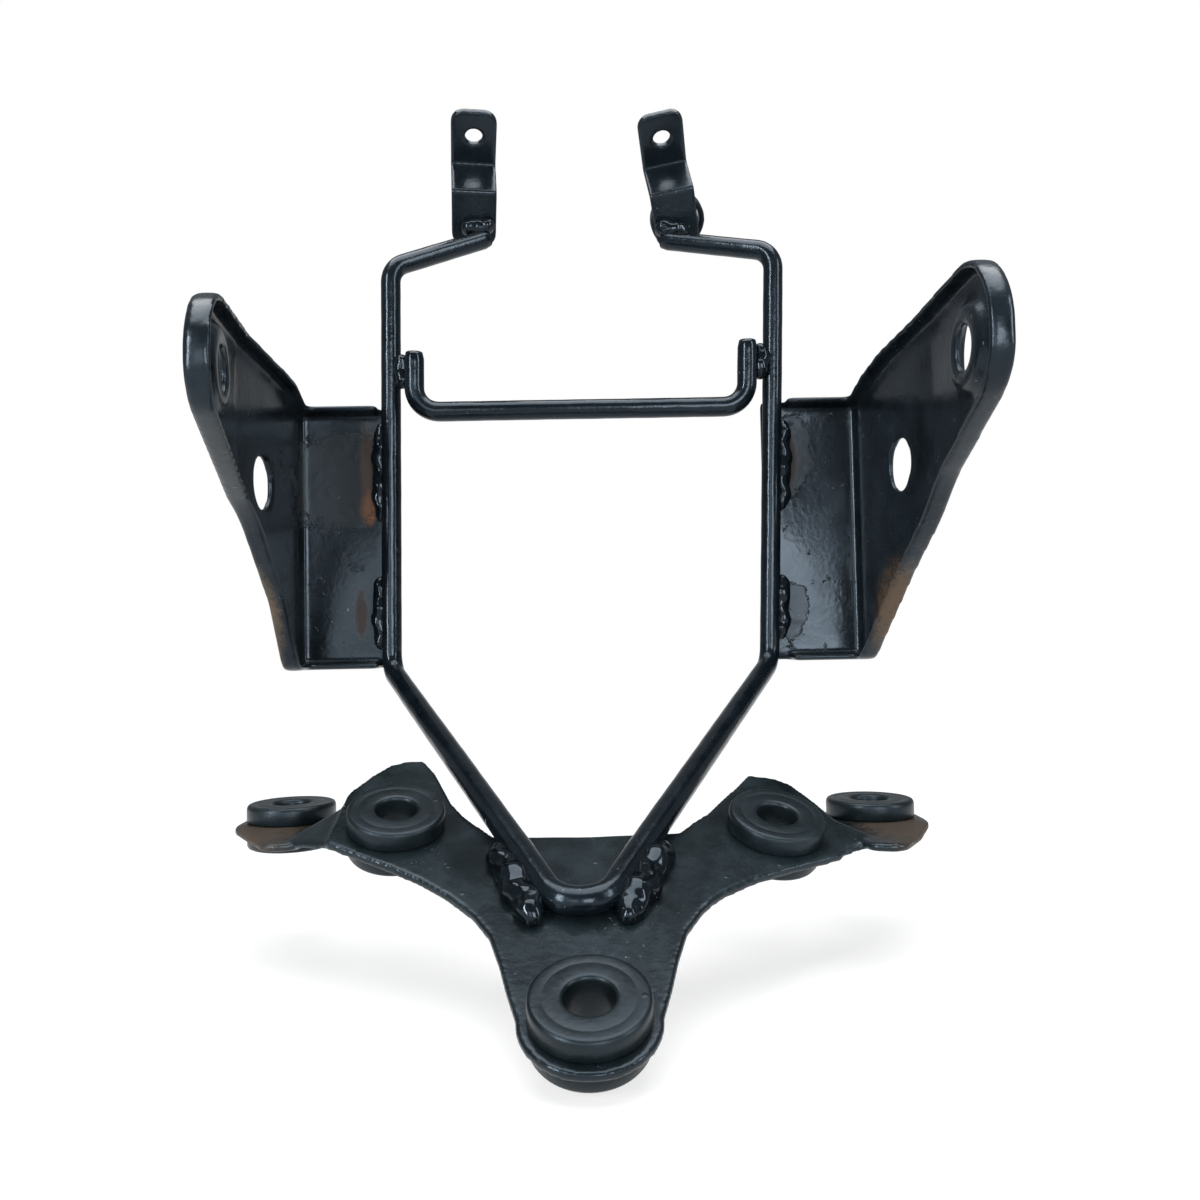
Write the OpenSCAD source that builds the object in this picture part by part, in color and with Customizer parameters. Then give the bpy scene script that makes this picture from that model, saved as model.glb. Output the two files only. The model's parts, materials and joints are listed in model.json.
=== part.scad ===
// Headlight mounting bracket for a motorcycle: a bent round bar carries two pressed
// side brackets for the lamp, two upper tabs, a cross bar and a flat base plate with
// five rubber grommets. Millimetres, +X to the right, +Y to the rear, +Z up.
// The origin is on the axis of the front grommet, level with the plate's top face.

/* [Rod frame] */
// Diameter of the round bar
rod_d = 6; // [5:0.5:7]
// Distance of each upright's foot from the middle, left and right
foot_x = [58.6, 57.4]; // [54:0.2:64]
// Distance of each upright's top from the middle, left and right
upright_top_x = [57.6, 61.8]; // [54:0.2:66]
// Length of each upright from foot to top corner, left and right
upright_h = [124.7, 128.4]; // [112:0.1:140]
// Radius of the bar's bends at its centre line
bend_r = 7.5; // [6:0.5:10]
// Distance of the bar's lower corners behind the front grommet, along the plate
leg_back = 144; // [134:1:156]
// Distance of the point of the V behind the front grommet, along the plate
apex_back = 17.5; // [15:0.5:20]
// Sideways offset of the point of the V, as welded
apex_shift = -1.5; // [-3:0.5:3]
// Distance of each top arm's end from the middle
arm_end_x = 29; // [26:0.5:34]
// Distance of the top arms' ends behind the uprights
arm_end_back = 18.5; // [14:0.5:22]
// Rise of each top arm from the upright's corner to its end, left and right
arm_rise = [16.5, 11.4]; // [8:0.1:22]

/* [Cross bar] */
// Height of the cross bar's left and right end over the uprights' feet
cross_h = [78.5, 78.7]; // [60:0.1:95]
// Distance of the cross bar in front of the uprights
cross_fwd = 4; // [3:0.5:5]
// Sideways distance from upright to hook, centre to centre, left and right
hook_gap = [7.8, 8.5]; // [7.2:0.1:9]
// Length of each upturned hook above the bar, left and right
hook_h = [18.3, 20.4]; // [14:0.2:26]

/* [Side brackets] */
// Thickness of the pressed sheet
sheet_t = 2; // [1.5:0.1:2.4]
// Height of the flat pan's lower edge over the uprights' feet
pan_low = 0.4; // [0:0.1:6]
// Height of the flat pan
pan_h = 80.6; // [70:0.1:90]
// Distance of the ear's inner face from the middle at the fold
ear_x = 86.5; // [80:0.5:96]
// Width of the flange along the pan's top and bottom edge
pan_flange = 6; // [4:0.5:9]
// Width of the flange around the ear
ear_flange = 4; // [3:0.5:7]
// Outward angle of the ear's rear half, left and right
ear_flare = [1, 5]; // [-2:0.5:8]
// Angle of the ear's front half to straight ahead, left and right
nose_turn = [-9, -2]; // [-10:0.5:4]
// Distances forward of the pan at which the ear's top edge turns
rise_at = [6.5, 16, 30, 58]; // [5:0.5:62]
// Rise of the left ear's top edge over the pan's at those places
left_rise = [0.4, 4.6, 5.9, 7.3]; // [0:0.1:12]
// Rise of the right ear's top edge over the pan's at those places
right_rise = [1, 4.6, 7.6, 10.2]; // [0:0.1:12]
// Height of the ear's top edge at its front end, over the pivot hole, left and right
nose_rise = [15, 19]; // [12:0.1:22]
// Drop of the ear's front end below the pivot hole, left and right
nose_drop = [10, 10.6]; // [8:0.1:13]
// Radius of the ear's upper front corner, left and right
nose_round = [17, 19]; // [10:0.5:20]
// Reach of the ear forward of the pan, left and right
ear_reach = [105.4, 107]; // [98:0.2:116]
// Distance of the bend in the ear's lower edge forward of the pan, left and right
belly_at = [52, 68]; // [46:1:72]
// Drop of that bend below the pivot hole, left and right
belly_drop = [28, 27.4]; // [24:0.2:32]
// Distance of the second bend in the lower edge forward of the pan, left and right
knee_at = [28, 38]; // [24:1:42]
// Height of the second bend over the pan's lower edge, left and right
knee_up = [20.1, 23.6]; // [16:0.1:28]
// Distance of the lower edge's heel forward of the pan, left and right
heel_at = [15.5, 9]; // [8:0.5:18]
// Distance of the crease in the ear forward of the pan
crease_at = 57; // [50:1:64]
// Distance of the lamp pivot hole forward of the pan
pivot_at = 87; // [84:0.5:91]
// Drop of the lamp pivot hole below the pan's top edge, left and right
pivot_drop = [10.5, 8.1]; // [7:0.1:13]
// Diameter of the lamp pivot hole
pivot_d = 10; // [8:0.5:12]
// Outer diameter of the pressed pad round the pivot hole
pad_d = 18.6; // [16:0.2:20]
// Height of the pressed pad above the sheet
pad_h = 3; // [2.2:0.1:4]
// Distance of the plain round hole forward of the pan, left and right
window_at = [34.8, 33.4]; // [30:0.2:42]
// Height of the plain round hole over the uprights' feet, left and right
window_h = [53, 55.5]; // [48:0.1:58]
// Diameter of the plain round hole
window_d = 14.2; // [10:0.2:17]

/* [Upper tabs] */
// Width of the tab strip
tab_w = 14.6; // [12:0.2:18]
// Thickness of the tab strip
tab_t = 2.4; // [2:0.1:3]
// Distance of each tab's foot outward of the arm's end, left and right
tab_out = [4.4, 5.4]; // [1:0.2:6.4]
// Lengths of the lower, middle and upper stretch of a tab
tab_len = [17.3, 13.4, 19.4]; // [12:0.1:24]
// Forward lean of the lower, middle and upper stretch of a tab
tab_lean = [44, -26, 62]; // [-40:1:70]
// Sideways turn of each tab toward the middle, left and right
tab_turn = [0, 10]; // [-4:1:14]
// Twist of each tab about the upright direction, left and right
tab_yaw = [7.5, 5]; // [0:0.5:10]
// Diameter of the hole in a tab
tab_hole_d = 5.6; // [4:0.1:6.6]
// Distance of the hole from a tab's top edge
tab_hole_at = 8.6; // [7:0.1:11]
// Outer diameter of the guide ring behind the right tab
ring_d = 18; // [16.4:0.2:20]
// Wall of the guide ring
ring_wall = 1.8; // [1.2:0.1:3]
// Length of the guide ring
ring_len = 5; // [3:0.5:8]

/* [Base plate] */
// Slope of the plate's main part, rising to the rear
plate_tilt = 22; // [18:0.5:26]
// Thickness of the plate
plate_t = 2; // [1.5:0.1:2.5]
// Distance of the plate's rear edge behind the front grommet
plate_back = 55.5; // [50:0.5:60]
// Radius of the plate's round front end
nose_r = 13; // [12:0.5:15]
// Distance of the inner grommets from the middle
inner_x = 43.3; // [40:0.1:46]
// Distance of the inner grommets behind the front grommet, along the plate
inner_back = 59.2; // [55:0.1:63]
// Downward lean of the plate's wings, left and right
wing_lean = [-5, 6]; // [-7:0.5:8]
// Distance of the wings' creases from the middle
crease_x = 25; // [20:0.5:28]
// Distance of the wings' rear corners behind the front grommet, left and right
wing_back = [89.6, 84.4]; // [82:0.2:92]
// Extra width of the wings behind the inner grommets, left and right
wing_out = [-0.6, 1.5]; // [-2:0.1:2.4]
// Distance of the outer grommets from the middle, left and right
outer_x = [75.6, 73.2]; // [72:0.1:77]
// Distance of the outer grommets behind the front grommet, level, left and right
outer_back = [85, 83.5]; // [81:0.5:88]
// Height of the level outer tabs' top faces over the origin, left and right
outer_top = [20.1, 18.3]; // [16:0.1:21]
// Radius of the outer tabs round their grommets
outer_tab_r = 12.4; // [12:0.1:15]
// Reach of the outer tabs forward of their grommets, left and right
outer_reach = [32, 37]; // [30:0.5:40]

/* [Grommets] */
// Outer diameter of a grommet
grommet_d = 22; // [19:0.2:23]
// Diameter of a grommet's bore
bore_d = 9; // [6:0.2:11]
// Diameter of the plate's hole that a grommet sits in
seat_d = 15.4; // [13.4:0.2:17]
// Height of a grommet's flange above and below the plate
lip_h = 4.5; // [3:0.1:6]
// Play between a grommet's neck and the plate's hole
seat_play = 0.2; // [0.1:0.05:0.4]

/* [Welds] */
// Radius of the thickest part of the beads on the plate
plate_bead_r = 3.9; // [3:0.1:4.4]
// Start and end of the beads on the plate, behind the point of the V
plate_bead = [9, 29.5]; // [7:0.5:34]
// Radius of the beads on the pans
pan_bead_r = 2.6; // [2:0.1:3]

/* [Hidden] */
$fn = 48;
LEFT = 0;
RIGHT = 1;
SIDE = [-1, 1];
eps = 0.01;
rod_r = rod_d / 2;
rod_play = 0.15;
swell = 0.03;
rod_up = rod_r + swell + 0.02;
overlap = 0.3;
paint = [0.20, 0.23, 0.25];
bare = [0.28, 0.31, 0.33];
rubber = [0.13, 0.14, 0.15];

// Vectors of the sloping plate: rearward along it, and square to it
plate_u = [0, cos(plate_tilt), sin(plate_tilt)];
plate_n = [0, -sin(plate_tilt), cos(plate_tilt)];
function on_plate(x, u, h) = [x, 0, 0] + u * plate_u + h * plate_n;

// Corner points of the main rod
foot = [for (i = [LEFT, RIGHT]) on_plate(SIDE[i] * foot_x[i], leg_back, rod_up)];
apex = on_plate(apex_shift, apex_back, rod_up);
upright_y = foot[0][1];
foot_z = foot[0][2];
top = [for (i = [LEFT, RIGHT]) [SIDE[i] * upright_top_x[i], upright_y, foot_z + upright_h[i]]];
arm_end = [for (i = [LEFT, RIGHT])
  [SIDE[i] * arm_end_x, upright_y + arm_end_back, top[i][2] + arm_rise[i]]];

// Sideways place of an upright's centre at a height over its foot
function upright_x(i, h) = foot[i][0] + (top[i][0] - foot[i][0]) * h / upright_h[i];

// Front face of the side brackets' pans, just clear of the uprights they are welded to
pan_y = upright_y + rod_r + rod_play;

// A point on the top face of a wing, with x measured outward
function on_wing_at(i, x, u) = on_plate(
  SIDE[i] * (crease_x + (x - crease_x) * cos(wing_lean[i])), u,
  -(x - crease_x) * sin(wing_lean[i]));

// General helpers

function unit(v) = v / norm(v);
function clamp(v) = max(-1, min(1, v));

// Columns of a turned frame to the three angles that rotate() takes
function angles(x, y, z) = abs(x[2]) > 0.99999
  ? [-sign(x[2]) * atan2(y[0], y[1]), -sign(x[2]) * 90, 0]
  : [atan2(y[2], z[2]), -asin(clamp(x[2])), atan2(x[1], x[0])];

// A straight round bar from a to b
module bar(a, b, r) {
  z = unit(b - a);
  side = abs(z[0]) < 0.9 ? [1, 0, 0] : [0, 1, 0];
  x = unit(cross(side, z));
  translate(a) rotate(angles(x, cross(z, x), z)) cylinder(r = r, h = norm(b - a));
}

// Turn of the path at b, and the length that its bend takes off each side
function turn(a, b, c) = acos(clamp(unit(b - a) * unit(c - b)));
function cut_back(a, b, c, br) = br * tan(turn(a, b, c) / 2);

// The bent piece of bar at corner b of the path a, b, c, a hair thicker than the bar
module elbow(a, b, c, br, r) {
  u = unit(b - a);
  w = unit(c - b);
  t = turn(a, b, c);
  z = unit(cross(u, w));
  in = cross(z, u);
  start = b - u * cut_back(a, b, c, br);
  centre = start + in * br;
  x = -in;
  translate(centre) rotate(angles(x, cross(z, x), z))
    rotate_extrude(angle = t) translate([br, 0]) circle(r = r + swell);
}

// A round bar along a path of corner points, with every corner bent to one radius
module bent_bar(p, br, r) {
  n = len(p);
  for (i = [0 : n - 2]) {
    along = unit(p[i + 1] - p[i]);
    from = i == 0 ? p[0] : p[i] + along * (cut_back(p[i - 1], p[i], p[i + 1], br) - overlap);
    to = i == n - 2 ? p[n - 1]
      : p[i + 1] - along * (cut_back(p[i], p[i + 1], p[i + 2], br) - overlap);
    bar(from, to, r);
  }
  for (i = [1 : n - 2]) elbow(p[i - 1], p[i], p[i + 1], br, r);
}

// Outward normal of an edge of a counterclockwise outline
function edge_n(a, b) = let (d = unit(b - a)) [d[1], -d[0]];
// The outline with every edge moved inward by d
function inset(p, d) = [for (i = [0 : len(p) - 1])
  let (n1 = edge_n(p[(i + len(p) - 1) % len(p)], p[i]), n2 = edge_n(p[i], p[(i + 1) % len(p)]))
  p[i] - (n1 + n2) * d / (1 + n1 * n2)];
// Points of the arc that rounds corner b
function round_corner(a, b, c, r, n) =
  let (u = unit(a - b), w = unit(c - b), half = acos(clamp(u * w)) / 2)
  let (m = b + unit(u + w) * r / sin(half))
  let (s = b + u * r / tan(half) - m, e = b + w * r / tan(half) - m)
  let (a0 = atan2(s[1], s[0]), raw = atan2(e[1], e[0]) - a0)
  let (sweep = raw > 180 ? raw - 360 : raw < -180 ? raw + 360 : raw)
  [for (k = [0 : n]) m + r * [cos(a0 + sweep * k / n), sin(a0 + sweep * k / n)]];
// The outline with corner i rounded to radius r[i]
function rounded(p, r, n = 8) = [for (i = [0 : len(p) - 1])
  each (r[i] <= 0 ? [p[i]] : round_corner(p[(i + len(p) - 1) % len(p)], p[i],
    p[(i + 1) % len(p)], r[i], n))];

// Puts a flat shape drawn in (y, z) upright, with its thickness along +X
module upright_shape(h) {
  rotate([90, 0, 90]) linear_extrude(h) children();
}
// Lays children drawn in (x, u) and thickness on the sloping plate
module on_slope() {
  rotate([plate_tilt, 0, 0]) children();
}
// Lays children drawn in (x, u) on one of the plate's wings, which lean about a crease
module on_wing(i) {
  on_slope() translate([SIDE[i] * crease_x, 0, 0]) rotate([0, SIDE[i] * wing_lean[i], 0])
    translate([-SIDE[i] * crease_x, 0, 0]) children();
}

// Main rod

module main_rod() {
  color(paint)
    bent_bar([arm_end[LEFT], top[LEFT], foot[LEFT], apex, foot[RIGHT], top[RIGHT], arm_end[RIGHT]],
      bend_r, rod_r);
}

// Cross bar with its two upturned hooks

function hook_x(i) = upright_x(i, cross_h[i]) - SIDE[i] * hook_gap[i];
cross_y = upright_y - cross_fwd;
function cross_end(i) = [hook_x(i), cross_y, foot_z + cross_h[i]];
function hook_top(i) = [upright_x(i, cross_h[i] + hook_h[i]) - SIDE[i] * hook_gap[i],
  cross_y, foot_z + cross_h[i] + hook_h[i]];

module cross_rod() {
  color(paint)
    bent_bar([hook_top(LEFT), cross_end(LEFT), cross_end(RIGHT), hook_top(RIGHT)], bend_r, rod_r);
}

// Side brackets, each pressed from one sheet: pan, ear, flange and pad

// Outline seen from the side: distance rearward of the pan's front, height over the feet
pan_top = pan_low + pan_h;
pivot_h = [for (drop = pivot_drop) pan_top - drop];
ear_rise = [left_rise, right_rise];
function ear_pts(i) = [
  [20, pan_top],
  for (k = [0 : len(rise_at) - 1]) [-rise_at[k], pan_top + ear_rise[i][k]],
  [-ear_reach[i], pivot_h[i] + nose_rise[i]], [-ear_reach[i], pivot_h[i] - nose_drop[i]],
  [-belly_at[i], pivot_h[i] - belly_drop[i]], [-knee_at[i], pan_low + knee_up[i]],
  [-heel_at[i], pan_low], [20, pan_low]
];
function ear_r(i) = [0, 6, 12, 30, 40, nose_round[i], 12, 40, 30, 6, 0];
bulge = [0, 1, -1, -1, -1, -1, -1, 1, 1, -1, 0];
function ear_outline(i, d) = rounded(inset(ear_pts(i), d),
  [for (k = [0 : len(bulge) - 1]) ear_r(i)[k] + bulge[k] * d], 10);

// Plan of the bent sheet: its inner face runs from the pan's end past fold and crease
pan_in = min(foot_x) - 0.4;
pan_w = ear_x - pan_in;
// The pan's flange starts beside the upright
function flange_w(i) = ear_x - abs(upright_x(i, pan_top)) - rod_r - 1;
function heading(a) = [sin(a), -cos(a)];
function outward(a) = [cos(a), sin(a)];
function nose_at(i) = ear_reach[i] + 5 - crease_at;
function crease(i, d) = crease_at * heading(ear_flare[i])
  + d * (outward(ear_flare[i]) + outward(nose_turn[i]))
  / (1 + outward(ear_flare[i]) * outward(nose_turn[i]));
function nose_end(i, d) = crease_at * heading(ear_flare[i])
  + nose_at(i) * heading(nose_turn[i]) + d * outward(nose_turn[i]);
// Where the ear's face, moved out by d, crosses a line across at distance y
function fold(i, d, y) = [d / cos(ear_flare[i]) - y * tan(ear_flare[i]), y];

// The sheet with room for its flange
module blank_plan(i) {
  polygon(rounded([
    [-pan_w, sheet_t], fold(i, sheet_t, sheet_t), crease(i, sheet_t), nose_end(i, sheet_t),
    nose_end(i, -ear_flange), crease(i, -ear_flange), fold(i, -ear_flange, -pan_flange),
    [-flange_w(i), -pan_flange], [-flange_w(i), 0], [-pan_w, 0]
  ], [0, fold_r + sheet_t, 0, 0, 0, 0, 0, 1.5, 0, 0], 5));
}
// The hollow in front of the sheet
fold_r = 1.6;
module hollow_plan(i) {
  polygon(rounded([
    [-pan_w - 5, 0], fold(i, 0, 0), crease(i, 0), nose_end(i, 0) + 2 * heading(nose_turn[i]),
    nose_end(i, -pan_w) + 2 * heading(nose_turn[i]), [-pan_w - 5, -40]
  ], [0, fold_r, 0, 0, 0, 0], 5));
}

// Pressed pad: a cone with a flat top, and the same form again as its hollow back
pad_base_r = pad_d / 2 + pad_h * 0.9;
pad_slope = (pad_base_r - pad_d / 2) / pad_h;
module pad_cone(from, to, less) {
  translate([from, 0, 0]) rotate([0, -90, 0])
    cylinder(r1 = pad_base_r + (from - less) * pad_slope - less * 0.35,
      r2 = pad_base_r + (to - less) * pad_slope - less * 0.35, h = from - to);
}

module side_sheet(i) {
  translate([ear_x, pan_y, foot_z]) difference() {
    union() {
      difference() {
        intersection() {
          linear_extrude(2 * pan_h) blank_plan(i);
          translate([-pan_w - 10, 0, 0]) upright_shape(2 * pan_w) polygon(ear_outline(i, 0));
        }
        intersection() {
          linear_extrude(2 * pan_h) hollow_plan(i);
          translate([-pan_w - 20, 0, 0]) upright_shape(3 * pan_w) polygon(ear_outline(i, sheet_t));
        }
      }
      on_nose(i) pad_cone(sheet_t * 0.4, -pad_h, 0);
    }
    on_nose(i) pad_cone(sheet_t + 1, sheet_t - pad_h, sheet_t);
    on_nose(i) translate([-2 * pad_h, 0, 0]) rotate([0, 90, 0]) cylinder(d = pivot_d, h = 4 * pad_h);
    rotate([0, 0, ear_flare[i]]) translate([-2 * ear_flange, -window_at[i], window_h[i]])
      rotate([0, 90, 0]) cylinder(d = window_d, h = 4 * ear_flange);
  }
}
// Places children at the pivot hole, on the inner face of the ear's front half
module on_nose(i) {
  rotate([0, 0, ear_flare[i]]) translate([0, -crease_at, 0])
    rotate([0, 0, nose_turn[i] - ear_flare[i]])
    translate([0, crease_at - pivot_at, pivot_h[i]]) children();
}

module side_bracket(i) {
  color(bare) mirror([i == LEFT ? 1 : 0, 0, 0]) side_sheet(i);
}

// Upper tabs, cranked twice, with a hole near the top

// A tab is drawn in its own place: its lower end's middle at the origin
module tab_strip(k, round_low, round_high) {
  l = tab_len[k];
  r = 4;
  pts = [[-tab_w / 2, 0], [tab_w / 2, 0], [tab_w / 2, l], [-tab_w / 2, l]];
  radii = [round_low ? r : 0, round_low ? r : 0, round_high ? r : 0, round_high ? r : 0];
  rotate([90 + tab_lean[k], 0, 0]) translate([0, 0, -tab_t / 2])
    linear_extrude(tab_t) polygon(rounded(pts, radii, 8));
}
function tab_step(k) = tab_len[k] * [0, -sin(tab_lean[k]), cos(tab_lean[k])];
tab_bend = [tab_step(0), tab_step(0) + tab_step(1), tab_step(0) + tab_step(1) + tab_step(2)];

module tab_shape() {
  difference() {
    union() {
      tab_strip(0, true, false);
      translate(tab_bend[0]) tab_strip(1, false, false);
      translate(tab_bend[1]) tab_strip(2, false, true);
      for (k = [0, 1])
        translate(tab_bend[k] - [tab_w / 2, 0, 0]) rotate([0, 90, 0]) cylinder(d = tab_t, h = tab_w);
    }
    translate(tab_bend[1] + (tab_len[2] - tab_hole_at) * unit(tab_step(2)))
      rotate([90 + tab_lean[2], 0, 0]) cylinder(d = tab_hole_d, h = 4 * tab_t, center = true);
  }
}

// The lower stretch lies on the end of the rod's arm
rod_to_tab = rod_r + tab_t / 2 + rod_play;
tab_lap = 4.2;
tab_face_n = [0, cos(tab_lean[0]), sin(tab_lean[0])];
// A direction in the tab's drawing, after its turn and twist
function tab_dir(i, v) = let (a = -SIDE[i] * tab_turn[i], b = -SIDE[i] * tab_yaw[i])
  let (p = [v[0] * cos(a) + v[2] * sin(a), v[1], -v[0] * sin(a) + v[2] * cos(a)])
  [p[0] * cos(b) - p[1] * sin(b), p[0] * sin(b) + p[1] * cos(b), p[2]];
function tab_foot(i) = arm_end[i] + rod_to_tab * tab_dir(i, tab_face_n)
  - tab_lap * tab_dir(i, unit(tab_step(0))) + tab_out[i] * tab_dir(i, [SIDE[i], 0, 0]);
module at_tab(i) {
  translate(tab_foot(i)) rotate([0, -SIDE[i] * tab_turn[i], -SIDE[i] * tab_yaw[i]]) children();
}

module upper_tab(i) {
  color(paint) at_tab(i) tab_shape();
}

// Ring welded to the back of the right tab, a little outward of its middle
ring_shift = 0.8;
ring_up = tab_len[0] - ring_d / 2 - 1.3;
module guide_ring() {
  back = [ring_shift, 0, 0] + (tab_t / 2) * tab_face_n + ring_up * unit(tab_step(0));
  color(paint) at_tab(RIGHT) translate(back)
    rotate([tab_lean[0] - 90, 0, 0]) difference() {
      cylinder(d = ring_d, h = ring_len);
      translate([0, 0, -1]) cylinder(d = ring_d - 2 * ring_wall, h = ring_len + 2);
    }
}

// Base plate: sloping main part, level outer tabs and the twisted necks between them

// Half of the outline, from the nose along the front edge to the wing and back
function side_pts(i) = [
  [nose_r - 0.02, 0], [14.9, 6.5], [16.9, 14.5], [19.4, 22.4], [23.4, 29], [28.4, 34.2],
  [35.6, 39.6], [inner_x, inner_back - 15.2], [inner_x + 9.7, inner_back - 10.4],
  [inner_x + 14.3, inner_back - 8],
  [inner_x + 14.2 + wing_out[i], wing_back[i] - 17.6],
  [inner_x + 10.6 + wing_out[i], wing_back[i] - 9.6],
  [inner_x + 6.8 + wing_out[i], wing_back[i] - 3.2],
  [inner_x + 3 + wing_out[i], wing_back[i] - 0.6],
  [inner_x - 2.2, wing_back[i]], [inner_x - 6, wing_back[i] - 6.2],
  [inner_x - 11.5, inner_back + 11], [inner_x - 15, inner_back + 5.6],
  [21, plate_back + 1]
];
side_n = len(side_pts(LEFT));
plate_pts = concat(side_pts(RIGHT), [[0, plate_back]],
  [for (k = [side_n - 1 : -1 : 0]) [-side_pts(LEFT)[k][0], side_pts(LEFT)[k][1]]], [[0, 0]]);
span = 2 * plate_back;
module main_outline() {
  intersection() {
    polygon(plate_pts);
    translate([-crease_x, -span]) square([2 * crease_x, 3 * span]);
  }
  circle(r = nose_r);
}
// A wing is cut a hair narrower where it runs into the main part at its crease
module wing_outline(i) {
  intersection() {
    polygon(inset(plate_pts, 0.12));
    translate([SIDE[i] * (crease_x + span - 1) - span, -span]) square([2 * span, 3 * span]);
  }
}

// Corners of a neck, sunk a little into the wing and the level tab that it joins
sink = 0.15;
function neck_rear(i) = on_wing_at(i, inner_x + 11.8, inner_back + 9) - [0, 0, sink];
function neck_front(i) = on_wing_at(i, inner_x + 11.8, inner_back - 8.2) - [0, 0, sink];
function neck_crest(i) = [SIDE[i] * (outer_x[i] - 6), outer_back[i] - 28, outer_top[i] - sink];
function neck_tab(i) = [SIDE[i] * (outer_x[i] - outer_tab_r + 1.1), outer_back[i] - 3,
  outer_top[i] - sink];
// One twisted strip: top and bottom are two facets each, which meet across the strip
module neck(i) {
  tops = [neck_front(i), neck_crest(i), neck_tab(i), neck_rear(i)];
  lows = [for (p = tops) p - [0, 0, plate_t - 2 * sink]];
  faces = [[0, 3, 1], [1, 3, 2], [4, 5, 7], [5, 6, 7],
    [0, 1, 5, 4], [1, 2, 6, 5], [2, 3, 7, 6], [3, 0, 4, 7]];
  polyhedron(concat(tops, lows), i == RIGHT ? faces
    : [for (f = faces) [for (k = [len(f) - 1 : -1 : 0]) f[k]]]);
}

module outer_tab(i) {
  x = outer_x[i];
  y = outer_back[i];
  r = outer_tab_r;
  f = outer_reach[i];
  pts = rounded([
    [x - 10, y - f + 2.5], [x - 2.5, y - f], [x + 5, y - f + 12], [x + r, y - f / 4], [x + r, y + r],
    [x - r, y + r], [x - r, y - 10]
  ], [3, 5, 20, 14, r - 0.2, r - 0.2, 8], 10);
  mirror([i == LEFT ? 1 : 0, 0, 0]) translate([0, 0, outer_top[i] - plate_t])
    linear_extrude(plate_t) polygon(pts);
}

module plate_hole() {
  translate([0, 0, -plate_t - 5]) cylinder(d = seat_d, h = plate_t + 10);
}

module base_plate() {
  color(bare) difference() {
    union() {
      on_slope() translate([0, 0, -plate_t]) linear_extrude(plate_t) main_outline();
      for (i = [LEFT, RIGHT]) {
        on_wing(i) translate([0, 0, -plate_t]) linear_extrude(plate_t) wing_outline(i);
        neck(i);
        outer_tab(i);
      }
    }
    on_slope() plate_hole();
    for (i = [LEFT, RIGHT]) on_wing(i) translate([SIDE[i] * inner_x, inner_back, 0]) plate_hole();
    for (i = [LEFT, RIGHT])
      translate([SIDE[i] * outer_x[i], outer_back[i], outer_top[i]]) plate_hole();
  }
}

// Rubber grommets: a flange above and below the plate, and a neck in its hole

module grommet() {
  r = grommet_d / 2;
  neck = seat_d / 2 - seat_play;
  e = 1;
  color(rubber) rotate_extrude() polygon([
    [bore_d / 2, -plate_t - lip_h], [r - e, -plate_t - lip_h], [r, -plate_t - lip_h + e],
    [r, -plate_t], [neck, -plate_t], [neck, 0], [r, 0], [r, lip_h - e], [r - e, lip_h],
    [bore_d / 2, lip_h]
  ]);
}
module front_grommet() {
  on_slope() grommet();
}
module inner_grommet(i) {
  on_wing(i) translate([SIDE[i] * inner_x, inner_back, 0]) grommet();
}
module outer_grommet(i) {
  translate([SIDE[i] * outer_x[i], outer_back[i], outer_top[i]]) grommet();
}

// Weld beads, each a row of lumps cut to the two pieces that it joins

module lumps(p, r) {
  hull() for (k = [0 : len(p) - 1]) translate(p[k]) sphere(r = r[k], $fn = 20);
}
// The straight stretches of rod that beads are cut to
module upright_bar(i) {
  bar(foot[i], top[i], rod_r);
}
module leg_bar(i) {
  bar(foot[i], apex, rod_r);
}

// The bar stands on the plate's top face, and its beads lie outside the V
function leg_x(i, u) = apex[0] + (foot[i][0] - apex[0]) * (u - apex_back) / (leg_back - apex_back);
module plate_weld(i) {
  s = SIDE[i];
  mid = apex_back + (plate_bead[0] + plate_bead[1]) / 2;
  high = apex_back + plate_bead[1];
  color(paint) difference() {
    lumps([on_plate(apex_shift + s * (bend_r + 0.8 * rod_r), apex_back + plate_bead[0], 1),
      on_plate(leg_x(i, mid) + s * 1.8 * rod_r, mid, 0.8),
      on_plate(leg_x(i, high) + s * 1.25 * rod_r, high, 0.8)],
      plate_bead_r * [0.77, 1, 0.72]);
    leg_bar(i);
    elbow(foot[LEFT], apex, foot[RIGHT], bend_r, rod_r);
    on_slope() translate([-span, 0, -20]) cube([2 * span, span, 20]);
  }
}

// Beads in the corner between an upright and the face of the pan
module pan_weld(i, from, to) {
  s = SIDE[i];
  low = pan_low + from * pan_h;
  high = pan_low + to * pan_h;
  x0 = upright_x(i, low) + s * rod_r;
  x1 = upright_x(i, high) + s * rod_r;
  color(paint) difference() {
    lumps([[x0 + s * 0.6, pan_y - 0.6, foot_z + low], [x1 + s * 0.6, pan_y - 0.6, foot_z + high]],
      pan_bead_r * [0.88, 1]);
    upright_bar(i);
    translate([-ear_x, pan_y, foot_z]) cube([2 * ear_x, 10, 2 * pan_h]);
  }
}

// Beads between a hook of the cross bar and the upright beside it
module cross_weld(i) {
  h0 = cross_h[i] + hook_h[i] * 0.55;
  h1 = cross_h[i] + hook_h[i] * 0.86;
  shift = SIDE[i] * hook_gap[i] * 0.5;
  y = cross_y + cross_fwd * 0.4;
  color(paint) difference() {
    lumps([[upright_x(i, h0) - shift, y, foot_z + h0], [upright_x(i, h1) - shift, y, foot_z + h1]],
      [2.5, 2.5]);
    upright_bar(i);
    bar(cross_end(i), hook_top(i), rod_r);
  }
}

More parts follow.
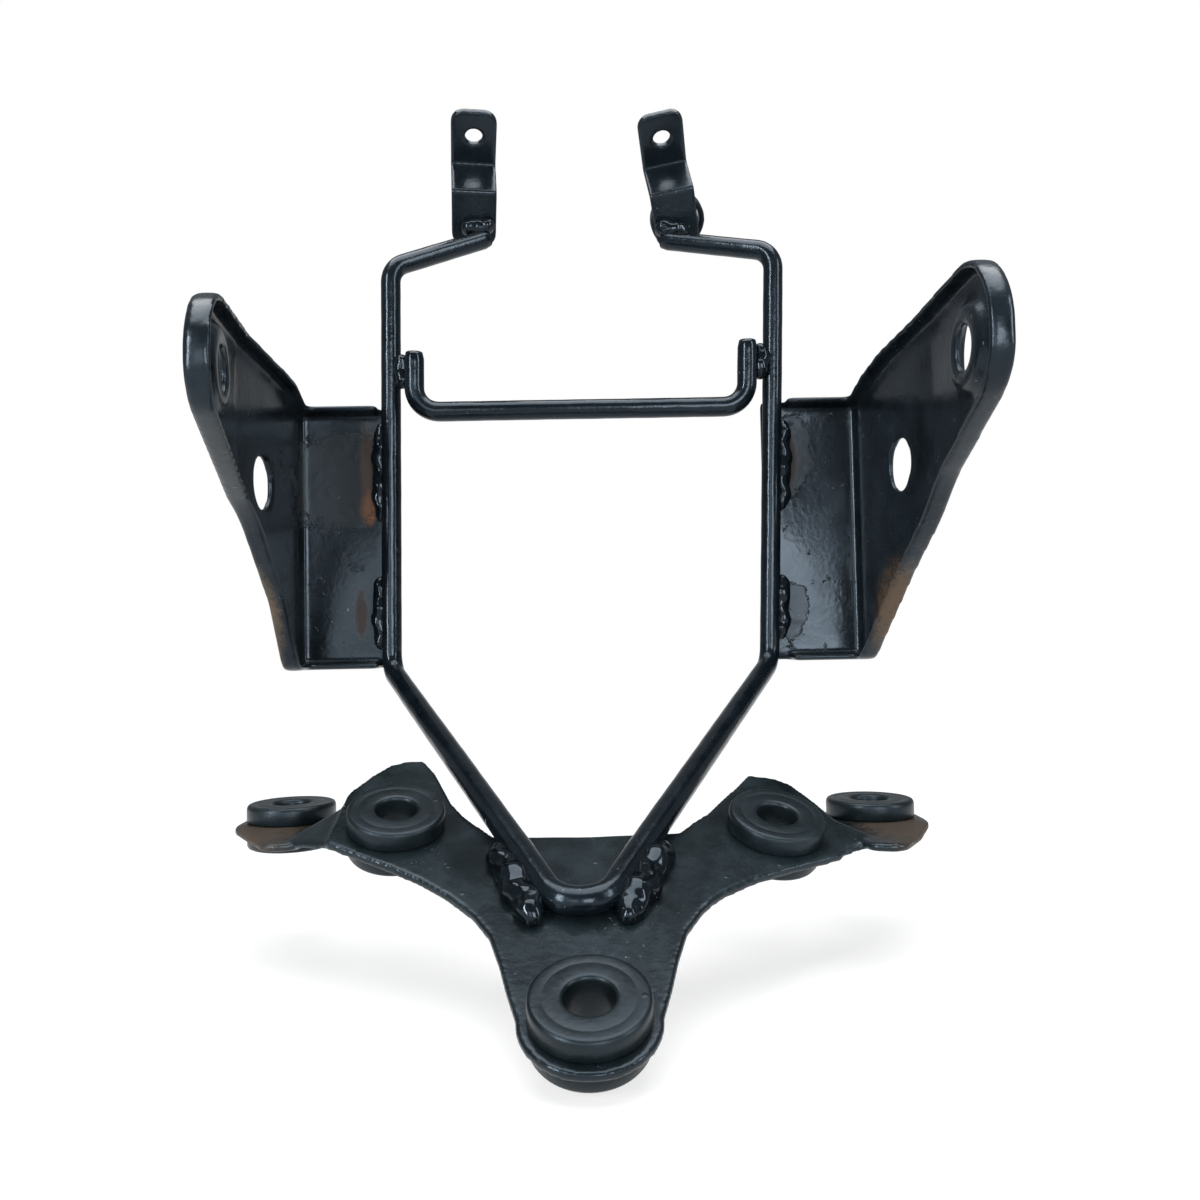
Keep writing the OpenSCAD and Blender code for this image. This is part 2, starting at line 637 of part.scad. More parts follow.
// Beads over the end of an arm, against the tab's lower stretch
module tab_weld(i) {
  s = SIDE[i];
  mid = arm_end[i] + [s * 3.4, 0, 0] + 3.2 * tab_dir(i, unit(tab_step(0)))
    + 1.2 * tab_dir(i, tab_face_n);
  color(paint) difference() {
    lumps([mid - [s * 3, 0, 0], mid + [s * 3.4, 0, 0]], [2.6, 2.2]);
    bar(arm_end[i], top[i], rod_r);
    at_tab(i) rotate([90 + tab_lean[0], 0, 0]) translate([-tab_w, -tab_len[0], -tab_t / 2 - 12])
      cube([2 * tab_w, 3 * tab_len[0], 12 + tab_t]);
  }
}

main_rod();
cross_rod();
side_bracket(LEFT);  // side_bracket_left
side_bracket(RIGHT);  // side_bracket_right
upper_tab(LEFT);  // upper_tab_left
upper_tab(RIGHT);  // upper_tab_right
guide_ring();
base_plate();
front_grommet();
inner_grommet(LEFT);  // inner_grommet_left
inner_grommet(RIGHT);  // inner_grommet_right
outer_grommet(LEFT);  // outer_grommet_left
outer_grommet(RIGHT);  // outer_grommet_right
plate_weld(LEFT);  // plate_weld_left
plate_weld(RIGHT);  // plate_weld_right
pan_weld(LEFT, 0.59, 0.91);  // pan_upper_weld_left
pan_weld(RIGHT, 0.61, 0.9);  // pan_upper_weld_right
pan_weld(LEFT, 0.1, 0.32);  // pan_lower_weld_left
pan_weld(RIGHT, 0.11, 0.3);  // pan_lower_weld_right
cross_weld(LEFT);  // cross_weld_left
cross_weld(RIGHT);  // cross_weld_right
tab_weld(LEFT);  // tab_weld_left
tab_weld(RIGHT);  // tab_weld_right
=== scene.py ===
import json
import bpy
import bmesh
import numpy as np
from mathutils import Matrix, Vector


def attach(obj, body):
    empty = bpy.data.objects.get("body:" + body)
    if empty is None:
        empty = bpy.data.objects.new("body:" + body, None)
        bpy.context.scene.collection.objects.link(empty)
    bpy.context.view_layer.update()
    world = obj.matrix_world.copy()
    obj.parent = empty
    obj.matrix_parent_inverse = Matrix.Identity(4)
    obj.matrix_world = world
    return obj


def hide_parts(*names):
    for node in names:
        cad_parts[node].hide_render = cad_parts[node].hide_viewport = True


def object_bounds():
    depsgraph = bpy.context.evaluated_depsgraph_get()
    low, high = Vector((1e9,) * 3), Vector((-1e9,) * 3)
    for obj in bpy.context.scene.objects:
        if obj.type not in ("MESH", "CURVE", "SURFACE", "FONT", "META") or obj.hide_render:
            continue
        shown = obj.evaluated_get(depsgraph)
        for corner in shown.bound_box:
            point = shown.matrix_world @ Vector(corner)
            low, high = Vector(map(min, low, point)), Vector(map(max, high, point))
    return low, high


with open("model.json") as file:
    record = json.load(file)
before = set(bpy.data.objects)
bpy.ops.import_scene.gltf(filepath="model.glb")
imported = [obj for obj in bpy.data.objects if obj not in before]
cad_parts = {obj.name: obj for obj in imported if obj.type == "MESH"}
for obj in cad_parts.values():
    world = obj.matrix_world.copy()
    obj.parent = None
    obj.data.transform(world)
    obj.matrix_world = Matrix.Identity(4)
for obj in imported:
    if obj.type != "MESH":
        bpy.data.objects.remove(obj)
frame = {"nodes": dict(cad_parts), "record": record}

cad_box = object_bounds()
# shapes are worked out in millimetres and stand in the scene in metres
MM, MM_PER_M = 0.001, 1000.0

# Main rod: one steel bar of 6 mm, bent cold into two arms, two uprights and a V.
# It was sprayed thickly in gloss black after welding, so the paint has runs, pimples
# and small chips down to grey steel.


def linear(hex_colour):
    """The sRGB hex colour as linear RGBA: each channel through the sRGB curve."""
    c = np.array([int(hex_colour[i:i + 2], 16) for i in (1, 3, 5)]) / 255.0
    low, high = c / 12.92, ((c + 0.055) / 1.055) ** 2.4
    return (*np.where(c <= 0.04045, low, high).tolist(), 1.0)


def add_node(tree, kind, settings=None, **links):
    """Adds a node and gives back its outputs. Settings go on it by name, links and plain
    values on its inputs, an input being named or, as i0 or i1, counted."""
    node = tree.nodes.new(kind)
    for key, value in (settings or {}).items():
        setattr(node, key, value)
    for key, value in links.items():
        name = key.replace("_", " ")
        socket = node.inputs[int(key[1:])] if key[1:].isdigit() else node.inputs[name]
        if isinstance(value, bpy.types.NodeSocket):
            tree.links.new(value, socket)
        else:
            socket.default_value = value
    return node.outputs


def unit(v):
    """Vectors along the last axis, each divided by its length."""
    return v / np.linalg.norm(v, axis=-1, keepdims=True)


def bent_path(corners, radius, step, arc_points=14):
    """Centre line of a bent bar: straight runs, and an arc of one radius at each corner,
    all cut into even steps. On the arc a point is start + radius (sin t along the run
    and 1 - cos t toward the inside), for t from 0 to the turn."""
    points = [corners[:1]]
    for before, at, after in zip(corners[:-2], corners[1:-1], corners[2:]):
        u, w = unit(at - before), unit(after - at)
        turn = np.arccos(np.clip(u @ w, -1, 1))
        inward = unit(w - u * (u @ w))
        start = at - u * radius * np.tan(turn / 2)
        t = np.linspace(0, turn, arc_points)[:, None]
        points.append(start + radius * (np.sin(t) * u + (1 - np.cos(t)) * inward))
    points = np.concatenate(points + [corners[-1:]])
    length = np.concatenate([[0], np.cumsum(np.linalg.norm(np.diff(points, axis=0), axis=1))])
    even = np.linspace(0, length[-1], int(length[-1] / step))
    return np.stack([np.interp(even, length, points[:, k]) for k in range(3)], axis=1)


def grid_mesh(name, points, caps=False):
    """Mesh of a grid of points (rows, columns, 3): a quad between each four neighbours,
    the last column joined to the first. With caps, the first and the last row are each
    closed by a fan about their middle."""
    rows, cols = points.shape[:2]
    r, c = np.meshgrid(np.arange(rows - 1), np.arange(cols), indexing="ij")
    d = (c + 1) % cols
    quads = np.stack([r * cols + c, r * cols + d, (r + 1) * cols + d, (r + 1) * cols + c], -1)
    verts, faces = points.reshape(-1, 3), quads.reshape(-1, 4).tolist()
    if caps:
        verts = np.concatenate([verts, points[0].mean(0)[None], points[-1].mean(0)[None]])
        k = np.arange(cols)
        first, last = rows * cols, rows * cols + 1
        end = (rows - 1) * cols
        faces += np.stack([k, np.full(cols, first), (k + 1) % cols], 1).tolist()
        faces += np.stack([end + k, end + (k + 1) % cols, np.full(cols, last)], 1).tolist()
    mesh = bpy.data.meshes.new(name)
    mesh.from_pydata(verts.tolist(), [], faces)
    mesh.polygons.foreach_set("use_smooth", np.ones(len(mesh.polygons), bool))
    mesh.validate()
    return mesh


def place(name, mesh, material, node):
    """Puts the mesh in the scene as a piece that stands for a node of the bracket."""
    piece = bpy.data.objects.new(name, mesh)
    bpy.context.collection.objects.link(piece)
    mesh.materials.clear()
    mesh.materials.append(material)
    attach(piece, "root")
    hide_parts(node)


def angles(count):
    """This many angles in radians, evenly spaced round a circle, the first at 0."""
    return np.linspace(0, 2 * np.pi, count, endpoint=False)


def tube(path, radius, sideways):
    """Round bar about a centre line: ring k is path[k] + r (cos a, sin a), square to the
    line, where r may differ from ring to ring and round the ring. Sideways is any
    direction but the line's own."""
    tangent = unit(np.gradient(path, axis=0))
    across = unit(np.cross(tangent, sideways))
    other = np.cross(across, tangent)
    a = angles(radius.shape[1])
    ring = (np.cos(a)[None, :, None] * across[:, None]
            + np.sin(a)[None, :, None] * other[:, None])
    return path[:, None] + radius[..., None] * ring


def bar_radius(rings, radius, runs, columns=32):
    """Radius of a painted bar: a slow sum of three sines along and round it, as thick
    paint gathers in runs, and 86 and 93 per cent of it in the last two rings at an end."""
    a = angles(columns)
    s = np.arange(rings)[:, None] * 1.0
    swell = (np.sin(s * 0.31 + 2 * a) + np.sin(s * 0.117 - a + 1.3)
             + np.sin(s * 0.71 + 3 * a + 0.4)) / 3
    end = np.minimum(s, s[::-1])
    return (radius + runs * swell) * np.where(end < 2, 0.86 + 0.07 * end, 1.0)


noise, ranged, maths, mixed = ("ShaderNodeTexNoise", "ShaderNodeMapRange", "ShaderNodeMath",
                               "ShaderNodeMix")
times, plus, minus, larger, times_plus = [{"operation": kind} for kind in (
    "MULTIPLY", "ADD", "SUBTRACT", "MAXIMUM", "MULTIPLY_ADD")]
coloured = {"data_type": "RGBA"}


def bare_tree(owner):
    """Node tree of a material or of the world, emptied."""
    owner.use_nodes = True
    owner.node_tree.nodes.clear()
    return owner.node_tree


def patches(width):
    """Scale of a texture with patches this many mm wide: 1000 mm over the width."""
    return MM_PER_M / width


def soft_ball(tree, where, centre, size):
    """Mask of a soft ball: 1 less the distance from its centre as a share of its size, and
    never under 0. The centre and the three half widths are in metres."""
    local = add_node(tree, "ShaderNodeMapping", {"vector_type": "TEXTURE"}, Vector=where,
                     Location=centre, Scale=size)[0]
    return add_node(tree, "ShaderNodeTexGradient", {"gradient_type": "SPHERICAL"},
                    Vector=local)["Fac"]


def sprayed_black(name, flat, sheen, chips=0.0, stains=(), blisters=(), gloss=0.2):
    """Gloss black spray paint on steel: dark, with a cold cast, orange peel, slow sags
    and a few chips and pimples. Stains are (centre, size, colour) of dust and rust, and
    blisters are (centre, size) of wrinkled paint with a torn edge; sizes in metres."""
    mat = bpy.data.materials.new(name)
    tree = bare_tree(mat)
    where = add_node(tree, "ShaderNodeTexCoord")["Object"]
    # cloudy overspray, patches about 12 mm wide
    cloud = add_node(tree, noise, None, Vector=where, Scale=patches(12), Detail=5.0,
                     Roughness=0.62)[0]
    thick = add_node(tree, ranged, None, Value=cloud, From_Min=0.35, From_Max=0.7)[0]
    colour = add_node(tree, mixed, coloured, i0=thick, i6=linear(flat), i7=linear(sheen))[2]
    # chips and scuffs under 1 mm wide, in patches about 17 mm wide
    speck = add_node(tree, noise, None, Vector=where, Scale=patches(1), Detail=3.0,
                     Roughness=0.7)[0]
    speck = add_node(tree, ranged, None, Value=speck, From_Min=0.68 - chips,
                     From_Max=0.71 - chips)[0]
    worn = add_node(tree, noise, None, Vector=where, Scale=patches(17), Detail=2.0)[0]
    worn = add_node(tree, ranged, None, Value=worn, From_Min=0.52, From_Max=0.62)[0]
    chip = add_node(tree, maths, times, i0=speck, i1=worn)[0]
    colour = add_node(tree, mixed, coloured, i0=chip, i6=colour, i7=linear("#5c666c"))[2]
    # orange peel 1.6 mm across, sags 11 mm across, pimples 1 mm wide about 9 mm apart
    peel = add_node(tree, noise, None, Vector=where, Scale=patches(1.6), Detail=3.0)[0]
    sag = add_node(tree, noise, None, Vector=where, Scale=patches(11), Detail=1.0)[0]
    height = add_node(tree, maths, times_plus, i0=sag, i1=2.0, i2=peel)[0]
    dots = add_node(tree, "ShaderNodeTexVoronoi", None, Vector=where,
                    Scale=patches(9))["Distance"]
    dots = add_node(tree, ranged, None, Value=dots, From_Min=0.03, From_Max=0.075, To_Min=1.6,
                    To_Max=0.0)[0]
    height = add_node(tree, maths, plus, i0=height, i1=dots)[0]
    rough = add_node(tree, ranged, None, Value=cloud, From_Min=0.3, From_Max=0.75,
                     To_Min=gloss - 0.04, To_Max=gloss + 0.1)[0]
    for centre, size, stain in stains:
        near = soft_ball(tree, where, centre, size)
        grime = add_node(tree, noise, None, Vector=where, Scale=patches(2.4), Detail=5.0,
                         Roughness=0.75)[0]
        grime = add_node(tree, maths, times, i0=near, i1=grime)[0]
        grime = add_node(tree, ranged, None, Value=grime, From_Min=0.1, From_Max=0.3)[0]
        colour = add_node(tree, mixed, coloured, i0=grime, i6=colour, i7=linear(stain))[2]
        dull = add_node(tree, maths, times, i0=grime, i1=0.6)[0]
        rough = add_node(tree, maths, larger, i0=rough, i1=dull)[0]
    for centre, size in blisters:
        # the tear's ragged outline, with bites 7 mm wide and finer, and its dark rim
        near = soft_ball(tree, where, centre, size)
        ragged = add_node(tree, noise, None, Vector=where, Scale=patches(7), Detail=6.0,
                          Roughness=0.74)[0]
        torn = add_node(tree, maths, times_plus, i0=ragged, i1=1.3, i2=near)[0]
        inside = add_node(tree, ranged, None, Value=torn, From_Min=0.85, From_Max=0.88)[0]
        outside = add_node(tree, ranged, None, Value=torn, From_Min=0.825, From_Max=0.848)[0]
        rim = add_node(tree, maths, minus, i0=outside, i1=inside)[0]
        faint = add_node(tree, maths, times, i0=inside, i1=0.35)[0]
        colour = add_node(tree, mixed, coloured, i0=faint, i6=colour, i7=linear("#2b2c2d"))[2]
        dark = add_node(tree, maths, times, i0=rim, i1=0.85)[0]
        colour = add_node(tree, mixed, coloured, i0=dark, i6=colour, i7=linear("#020303"))[2]
        dull = add_node(tree, maths, times, i0=inside, i1=0.34)[0]
        rough = add_node(tree, maths, larger, i0=rough, i1=dull)[0]
        # wrinkles 4 mm apart and finer inside the tear, and a groove along its rim
        fold = add_node(tree, noise, {"noise_type": "RIDGED_MULTIFRACTAL"}, Vector=where,
                        Scale=patches(4), Detail=3.0)[0]
        fold = add_node(tree, maths, times, i0=fold, i1=inside)[0]
        height = add_node(tree, maths, times_plus, i0=fold, i1=4.0, i2=height)[0]
        height = add_node(tree, maths, times_plus, i0=rim, i1=-6.0, i2=height)[0]
    relief = add_node(tree, "ShaderNodeBump", None, Height=height, Strength=0.25,
                      Distance=0.00025)[0]
    paint = add_node(tree, "ShaderNodeBsdfPrincipled", None, Base_Color=colour,
                     Roughness=rough, Normal=relief, IOR=1.45, Specular_IOR_Level=0.42,
                     Specular_Tint=linear("#c4d8ea"))[0]
    add_node(tree, "ShaderNodeOutputMaterial", None, Surface=paint)
    return mat


# The V lies on the base plate, which slopes up to the rear, a hair above it. Lengths are
# in mm, the first of each pair is the left one, and heights count from the V's upper
# ends, the feet.
slope = np.radians(22)
up_slope = np.array([0, np.cos(slope), np.sin(slope)])
off_plate = np.array([0, -np.sin(slope), np.cos(slope)])
rod_r, rod_gap, bend_r, ring_step, paint_runs = 3.0, 0.05, 7.5, 1.0, 0.04
rod_lift = rod_r + rod_gap
foot_x, foot_back = (-58.6, 57.4), 144
apex_x, apex_back = -1.5, 17.5
top_x, upright_h = (-57.6, 61.8), (124.7, 128.4)
arm_x, arm_h, arm_back = (-29, 29), (141.2, 139.8), 18.5
foot = [np.array([x, 0, 0]) + foot_back * up_slope + rod_lift * off_plate for x in foot_x]
apex = np.array([apex_x, 0, 0]) + apex_back * up_slope + rod_lift * off_plate
top = [at * [0, 1, 1] + [x, 0, h] for at, x, h in zip(foot, top_x, upright_h)]
arm_end = [at * [0, 1, 1] + [x, arm_back, h] for at, x, h in zip(foot, arm_x, arm_h)]
rod_paint = sprayed_black("sprayed gloss black on bar", flat="#05090d", sheen="#0c1216",
                          chips=-0.01, gloss=0.17)


def painted_bar(node, corners):
    """Puts in the scene a round bar bent at these corners, under its coat of paint."""
    line = bent_path(np.array(corners), bend_r, ring_step)
    skin = tube(line, bar_radius(len(line), rod_r, paint_runs), (0, 1, 0))
    place(node + "_painted", grid_mesh(node, skin * MM, caps=True), rod_paint, node)


painted_bar("main_rod", [arm_end[0], top[0], foot[0], apex, foot[1], top[1], arm_end[1]])

# Cross bar: a second bar of 6 mm between the uprights. Both its ends are turned up into
# hooks that lie inside the uprights and are welded to them.
cross_fwd, cross_h, hook_h, hook_gap = 4, (78.5, 78.7), (18.3, 20.4), (7.8, 8.5)
cross_y = foot[0][1] - cross_fwd


def hook(i, side):
    """Corner and top of the hook at upright i, each a gap inside the upright's line, on
    which x = the foot's x + lean times the height."""
    lean = (top[i][0] - foot[i][0]) / (top[i][2] - foot[i][2])
    return [[foot[i][0] + lean * h - side * hook_gap[i], cross_y, foot[i][2] + h]
            for h in (cross_h[i], cross_h[i] + hook_h[i])]


low_left, high_left = hook(0, -1)
low_right, high_right = hook(1, 1)
painted_bar("cross_rod", [high_left, low_left, low_right, high_right])

# Side brackets: pressed from 2 mm steel sheet, each a flat pan behind the rod, an ear
# that reaches forward beside the lamp, a flange round both and a raised pad for the
# lamp's side screw. Welding heat has wrinkled the paint, and rust creeps from the beads.


def points_of(mesh):
    """The mesh's points as an array (count, 3), in metres."""
    at = np.empty(len(mesh.vertices) * 3)
    mesh.vertices.foreach_get("co", at)
    return at.reshape(-1, 3)


def move_points(mesh, at):
    """Moves the mesh's points to these places."""
    mesh.vertices.foreach_set("co", at.ravel())
    mesh.update()


def softened_copy(node, material, grain, rounds):
    """Copy of a node's solid with its doubled corners merged, laid over with an even skin
    of quads one grain wide, in mm. Each round moves every point half way to the mean of
    its neighbours, which rounds folds and edges as thick paint does and leaves flats flat."""
    work = bmesh.new()
    work.from_mesh(frame["nodes"][node].data)
    bmesh.ops.remove_doubles(work, verts=work.verts, dist=1e-5)
    merged = bpy.data.meshes.new(node + "_merged")
    work.to_mesh(merged)
    work.free()
    source = bpy.data.objects.new(node + "_source", merged)
    bpy.context.collection.objects.link(source)
    skin = source.modifiers.new("even skin", "REMESH")
    skin.mode, skin.voxel_size = "VOXEL", grain * MM
    graph = bpy.context.evaluated_depsgraph_get()
    mesh = bpy.data.meshes.new_from_object(source.evaluated_get(graph))
    bpy.data.objects.remove(source)
    at, ends = points_of(mesh), np.empty(len(mesh.edges) * 2, int)
    mesh.edges.foreach_get("vertices", ends)
    ends = ends.reshape(-1, 2)
    here, there = np.concatenate([ends, ends[:, ::-1]]).T
    count = np.bincount(here, minlength=len(at))
    for _ in range(rounds):
        mean = [np.bincount(here, at[there, k], len(at)) / count for k in range(3)]
        at = (at + np.stack(mean, axis=1)) / 2
    mesh.polygons.foreach_set("use_smooth", np.ones(len(mesh.polygons), bool))
    move_points(mesh, at)
    place(node + "_painted", mesh, material, node)
    return mesh


left_paint = sprayed_black(
    "sprayed black, wrinkled and rusting", flat="#070b0e", sheen="#11181c",
    stains=[((-0.0662, 0.135, 0.118), (0.0035, 0.006, 0.022), "#3a2a1b"),
            ((-0.0658, 0.135, 0.107), (0.004, 0.006, 0.008), "#5e3a1c"),
            ((-0.0685, 0.135, 0.074), (0.003, 0.006, 0.012), "#2f2620"),
            ((-0.09, 0.103, 0.07), (0.007, 0.03, 0.026), "#43382a")],
    blisters=[((-0.0755, 0.1355, 0.115), (0.018, 0.02, 0.019))])
right_paint = sprayed_black(
    "sprayed black, blistered by the weld", flat="#070b0e", sheen="#12191e",
    stains=[((0.0665, 0.135, 0.12), (0.003, 0.006, 0.015), "#3a322b"),
            ((0.089, 0.103, 0.068), (0.007, 0.03, 0.026), "#443422")],
    blisters=[((0.0665, 0.1355, 0.122), (0.0085, 0.02, 0.015)),
              ((0.0655, 0.1355, 0.073), (0.0065, 0.02, 0.011))])
# half sizes and middle of a pan's flat in metres, and a plane that only the pans lie behind
pan_half_w, pan_half_h, pan_x, pan_z = 0.0105, 0.037, 0.0735, 0.0975
pan_y, dish_depth = 0.131, 0.00025
for side, paint in (("left", left_paint), ("right", right_paint)):
    bracket = softened_copy("side_bracket_" + side, paint, grain=0.5, rounds=24)
    at = points_of(bracket)
    # the flat is dished by its depth times (1 - u^2)(1 - v^2), u and v from -1 to 1
    u, v = (np.abs(at[:, 0]) - pan_x) / pan_half_w, (at[:, 2] - pan_z) / pan_half_h
    dish = np.clip(1 - u ** 2, 0, 1) * np.clip(1 - v ** 2, 0, 1) * (at[:, 1] > pan_y)
    at[:, 1] += dish_depth * dish
    move_points(bracket, at)

# Upper tabs: strips of sheet cranked twice, each with a round hole, and the guide ring
# that is welded behind the right one.
tab_paint = sprayed_black("sprayed gloss black on sheet", flat="#070b0e", sheen="#10171b")
for node in ("upper_tab_left", "upper_tab_right", "guide_ring"):
    softened_copy(node, tab_paint, grain=0.3, rounds=14)

# Base plate: cut from 2 mm sheet, with two wings, and a level tab on a twisted neck at
# the end of each. Brown dust clings to its outer edges.
plate_paint = sprayed_black(
    "sprayed black, dusty at the edges", flat="#0a0f11", sheen="#151d20",
    stains=[((-0.079, 0.066, 0.019), (0.018, 0.03, 0.01), "#33291f"),
            ((0.077, 0.064, 0.018), (0.018, 0.03, 0.01), "#33291f")], gloss=0.24)
softened_copy("base_plate", plate_paint, grain=0.45, rounds=8)

# Grommets: black rubber, moulded with a flange above and below, pushed into the plate's
# holes and sprayed over with the rest.
rubber = sprayed_black("moulded rubber with overspray", flat="#070c0d", sheen="#10171a",
                       chips=-0.1, gloss=0.34)


def grommet_surface(centre, axis, rise=4.5, columns=72):
    """Rubber grommet: a closed profile of (radius, height over the plate's top), in mm,
    turned about its axis. Each flange rises this far from its side of the 2 mm plate."""
    under = -2 - rise
    profile = np.array([
        (4.5, under + 0.6), (5.0, under), (10.0, under), (10.6, under + 0.3),
        (10.95, under + 0.9), (11.0, -2.5), (10.8, -2.1), (10.5, -2.0), (7.5, -2.0), (7.5, 0.0),
        (10.5, 0.0), (10.8, 0.1), (11.0, 0.5), (11.0, rise - 1.1), (10.9, rise - 0.6),
        (10.65, rise - 0.2), (10.3, rise - 0.03), (9.8, rise), (8.6, rise), (8.4, rise - 0.04),
        (8.2, rise - 0.04), (8.0, rise), (5.6, rise), (5.1, rise - 0.06), (4.8, rise - 0.25),
        (4.6, rise - 0.6), (4.5, rise - 1.0)])
    a = angles(columns)
    z = unit(np.array(axis, float))
    x = unit(np.cross((0.0, 1.0, 0.0), z))
    y = np.cross(z, x)
    around = np.cos(a)[:, None] * x + np.sin(a)[:, None] * y
    return (np.array(centre) + profile[None, :, :1] * around[:, None]
            + profile[None, :, 1:] * z)


for bore in frame["record"]["mounts"]:
    if "grommet" in bore["name"]:
        node = bore["name"].replace("_bore", "")
        shape = grommet_surface(np.array(bore["pos_m"]) * MM_PER_M, bore["axis"])
        mesh = grid_mesh(node, np.concatenate([shape, shape[:1]]) * MM)
        # the profile's last turn lies on its first, and the two are merged
        work = bmesh.new()
        work.from_mesh(mesh)
        bmesh.ops.remove_doubles(work, verts=work.verts, dist=1e-6)
        bmesh.ops.recalc_face_normals(work, faces=work.faces)
        work.to_mesh(mesh)
        work.free()
        place(node + "_moulded", mesh, rubber, node)

# Welds: beads laid by hand, lumpy and rippled, left unground and sprayed over in the
# same thick gloss black.
weld_paint = sprayed_black("sprayed gloss black on weld", flat="#04070a", sheen="#0b1013",
                           gloss=0.1)


def bead_surface(node, plump, wave, rings=70, columns=36):
    """Weld bead: a tube about the long axis of the solid that it stands for. Its radius
    is r (1 - t^4)^(1/2), for t from -1 to 1 along it, times ripples 2.3 mm apart and
    lumps, each a sine along the bead or round it. Plump widens it, wave shifts the sines."""
    at = points_of(frame["nodes"][node].data) * MM_PER_M
    centre = (at.max(0) + at.min(0)) / 2
    axis = np.linalg.svd(at - centre, full_matrices=False)[2][0]
    along = (at - centre) @ axis
    centre = centre + axis * (along.max() + along.min()) / 2
    half = (along.max() - along.min()) / 2
    off = np.linalg.norm(at - centre - ((at - centre) @ axis)[:, None] * axis, axis=1)
    # the rings crowd toward both ends and stop just short of them
    t = np.sin(np.linspace(-1, 1, rings) * np.pi / 2)[:, None] * 0.999
    a = angles(columns)
    s = t * half
    ripple = np.abs(np.sin(s * np.pi / 2.3 + 0.6 * np.sin(a + wave)))
    lumps = (0.03 * ripple + 0.11 * np.sin(0.55 * s + a + wave)
             + 0.07 * np.sin(1.0 * s - 2 * a + 2 * wave))
    radius = plump * np.percentile(off, 80) * np.sqrt(1 - t ** 4) * (0.95 + lumps)
    return tube(centre + s * axis, np.maximum(radius, 0.05), (0.3, 1.0, 0.2))


for k, node in enumerate(n for n in frame["nodes"] if "weld" in n):
    bead = bead_surface(node, plump=1.05 if "cross" in node else 1.25, wave=1.7 * k)
    place(node + "_bead", grid_mesh(node, bead * MM, caps=True), weld_paint, node)

# Studio: pale floor, soft lamps on both sides and above, and the photograph's camera.
# The floor is 6 m square and lies 1 mm under the bracket.
floor_mesh = bpy.data.meshes.new("floor")
half_floor, floor_z = 3.0, cad_box[0][2] - 0.001
floor_mesh.from_pydata([(x * half_floor, y * half_floor, floor_z)
                        for x, y in ((-1, -1), (1, -1), (1, 1), (-1, 1))], [], [(0, 1, 2, 3)])
floor = bpy.data.objects.new("floor", floor_mesh)
bpy.context.collection.objects.link(floor)
floor_mat = bpy.data.materials.new("pale studio floor")
floor_mesh.materials.append(floor_mat)
tree = bare_tree(floor_mat)
# the floor keeps the shadow near the bracket and runs out into plain white
where = add_node(tree, "ShaderNodeTexCoord")["Object"]
far = soft_ball(tree, where, (0, 0.06, floor_z), (0.75, 0.75, 0.75))
far = add_node(tree, ranged, None, Value=far, From_Min=0.35, From_Max=0.8, To_Min=1.0,
               To_Max=0.7)[0]
# light that falls on the bracket from the floor comes from the plain floor alone
seen = add_node(tree, "ShaderNodeLightPath")
rays = add_node(tree, maths, larger, i0=seen["Is Camera Ray"], i1=seen["Is Glossy Ray"])[0]
rays = add_node(tree, maths, larger, i0=rays, i1=seen["Is Transmission Ray"])[0]
far = add_node(tree, maths, times, i0=far, i1=rays)[0]
near_floor = add_node(tree, "ShaderNodeBsdfDiffuse", None, Color=linear("#f2f2f2"))[0]
far_floor = add_node(tree, "ShaderNodeEmission", None, Color=(1, 1, 1, 1), Strength=1.0)[0]
look = add_node(tree, "ShaderNodeMixShader", None, i0=far, i1=near_floor, i2=far_floor)[0]
add_node(tree, "ShaderNodeOutputMaterial", None, Surface=look)

world = bpy.data.worlds.new("studio")
bpy.context.scene.world = world
tree = bare_tree(world)
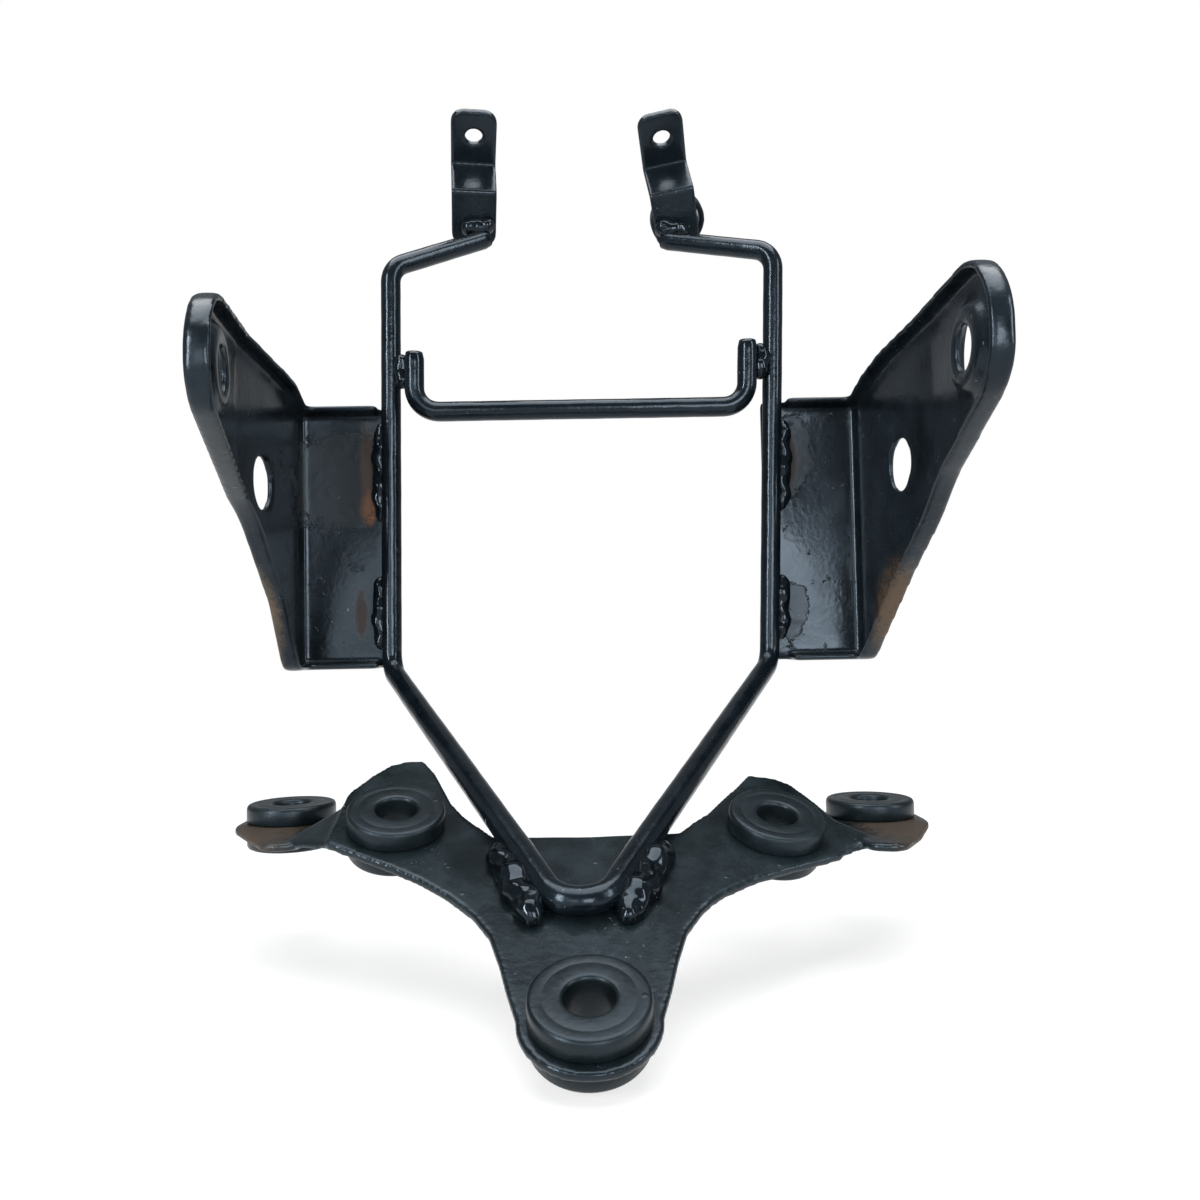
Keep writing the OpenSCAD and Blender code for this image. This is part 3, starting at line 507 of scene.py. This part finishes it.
# a white sweep stands behind the bracket; the rest of the room is dim, and only the
# camera sees it white
toward = add_node(tree, "ShaderNodeTexCoord")["Generated"]
toward = add_node(tree, "ShaderNodeSeparateXYZ", None, Vector=toward)["Y"]
sweep = add_node(tree, ranged, None, Value=toward, From_Min=0.9, From_Max=1.1)[0]
seen = add_node(tree, "ShaderNodeLightPath")
rays = add_node(tree, maths, larger, i0=seen["Is Glossy Ray"],
                i1=seen["Is Transmission Ray"])[0]
rays = add_node(tree, maths, times, i0=rays, i1=sweep)[0]
rays = add_node(tree, maths, larger, i0=rays, i1=seen["Is Camera Ray"])[0]
room = add_node(tree, "ShaderNodeBackground", None, Color=linear("#dfe8f0"), Strength=0.3)[0]
white = add_node(tree, "ShaderNodeBackground", None, Color=(1, 1, 1, 1), Strength=1.0)[0]
pick = add_node(tree, "ShaderNodeMixShader", None, i0=rays, i1=room, i2=white)[0]
add_node(tree, "ShaderNodeOutputWorld", None, Surface=pick)

# soft rectangular lamps, each turned to face the middle of the bracket
aim = (0, 0.1, 0.1)
for name, stand, width, height, watts in (
        ("tall softbox", (-0.9, -0.9, 0.3), 0.13, 1.3, 24),
        ("left window", (-0.45, -1.5, 0.22), 0.55, 0.75, 5),
        ("right window", (0.42, -1.5, 0.22), 0.62, 0.75, 18),
        ("side softbox", (0.95, -0.5, 0.5), 0.2, 0.8, 6),
        ("top softbox", (0.0, 0.0, 1.1), 1.2, 0.9, 20)):
    data = bpy.data.lights.new(name, "AREA")
    data.shape = "RECTANGLE"
    data.size, data.size_y, data.energy = width, height, watts
    lamp = bpy.data.objects.new(name, data)
    bpy.context.collection.objects.link(lamp)
    z = unit(np.array(stand, float) - np.array(aim))
    x = unit(np.cross((0.0, 0.0, 1.0), z))
    y = np.cross(z, x)
    lamp.matrix_world = Matrix([[x[k], y[k], z[k], stand[k]] for k in range(3)]
                               + [[0, 0, 0, 1]])

# the photograph's camera, as fitted to it: where it stands and how it is turned
camera_data = bpy.data.cameras.new("photo camera")
camera_data.lens, camera_data.sensor_width = 30.0, 36.0
camera = bpy.data.objects.new("photo camera", camera_data)
bpy.context.collection.objects.link(camera)
camera.matrix_world = Matrix([[0.99967, 0.01851, -0.01779, 0.0],
                              [-0.01706, -0.03854, -0.99911, -0.1754],
                              [-0.01918, 0.99909, -0.03821, 0.0652], [0, 0, 0, 1]])
bpy.context.scene.camera = camera
bpy.context.scene.view_settings.view_transform = "Standard"
